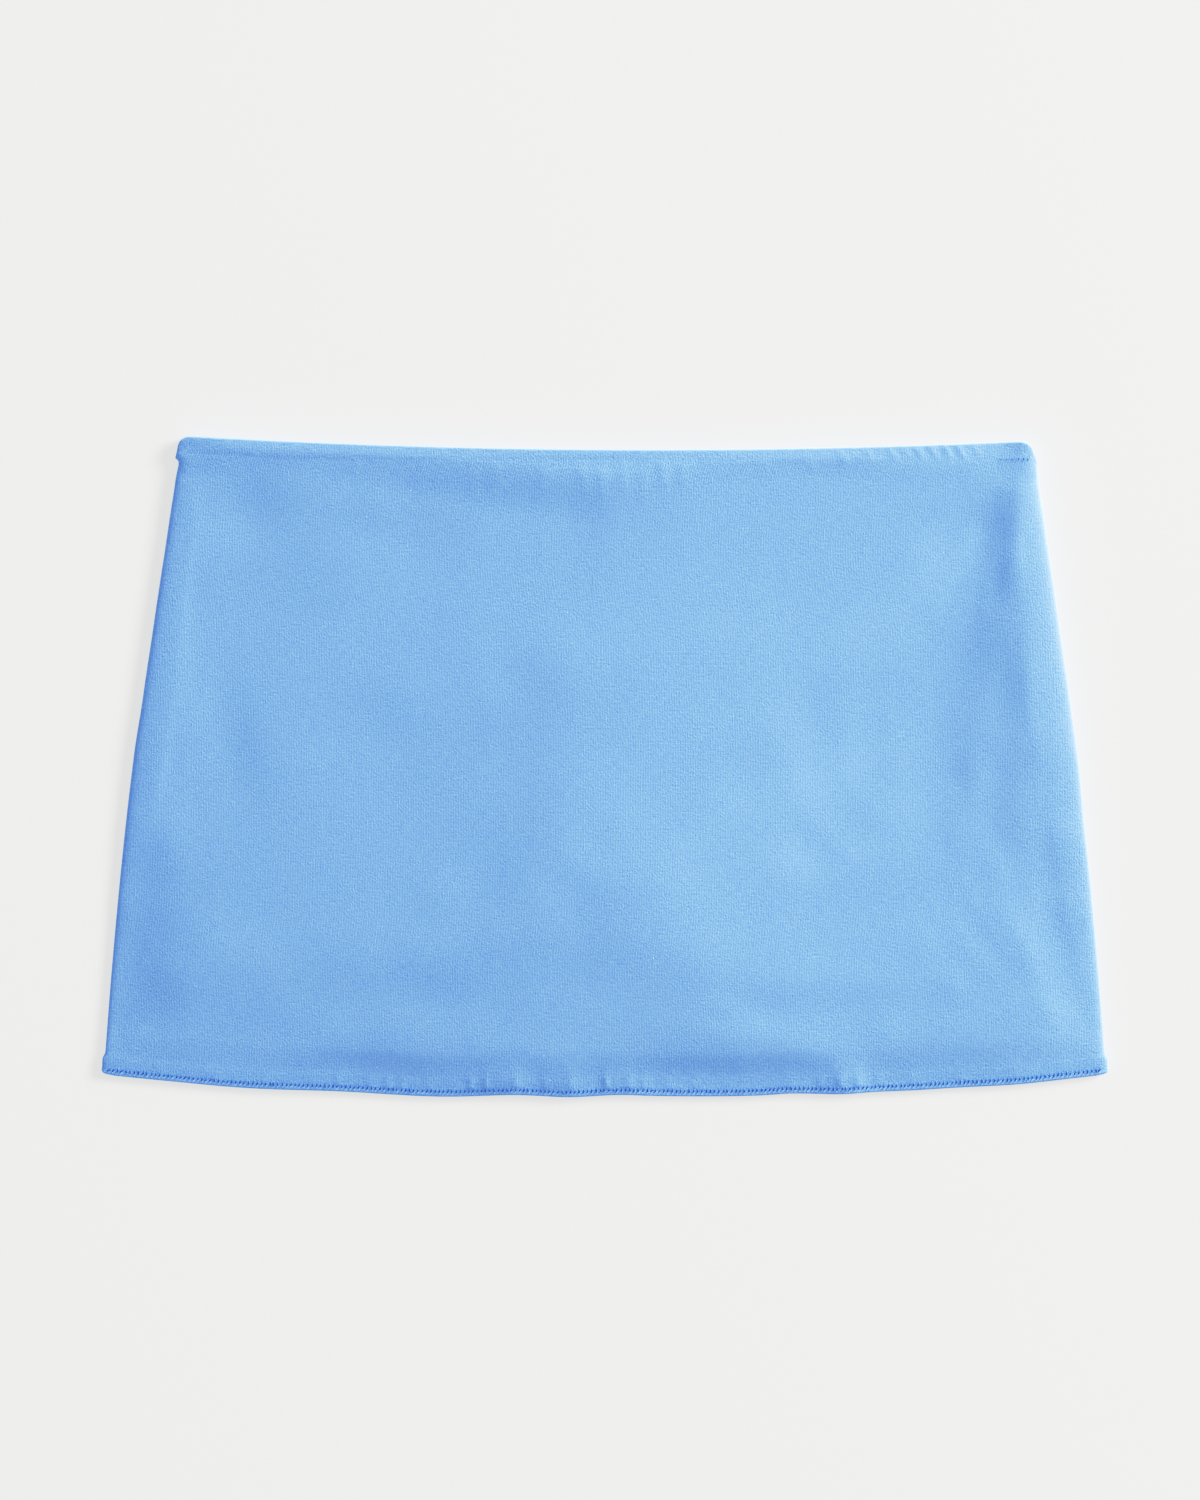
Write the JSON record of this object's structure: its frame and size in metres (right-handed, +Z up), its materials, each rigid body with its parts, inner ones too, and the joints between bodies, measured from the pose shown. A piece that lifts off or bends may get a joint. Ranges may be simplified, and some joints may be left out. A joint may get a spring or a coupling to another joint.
{
  "type": "knit mini skirt",
  "caption": "Soft knit mini skirt lying flat, front on back, with a narrow rolled waist and a turned, overlocked hem. Covers the hips when worn.",
  "frame": {"origin": "middle of the skirt's flat outline, on the surface that it lies on", "axes": "+X along the hem, to the right of the picture; +Y from the hem to the waist; +Z up from the surface, out of the front"},
  "size_m": [0.4822, 0.3171, 0.0084],
  "materials": {
    "knit": "matte fine jersey with a soft nap",
    "hem_knit": "matte fine jersey, turned up and overlocked"
  },
  "bodies": {
    "root": {"front_waist_roll": "knit", "front_panel": "knit", "front_hem": "hem_knit", "back_waist_roll": "knit", "back_panel": "knit", "back_hem": "hem_knit"}
  },
  "joints": []
}
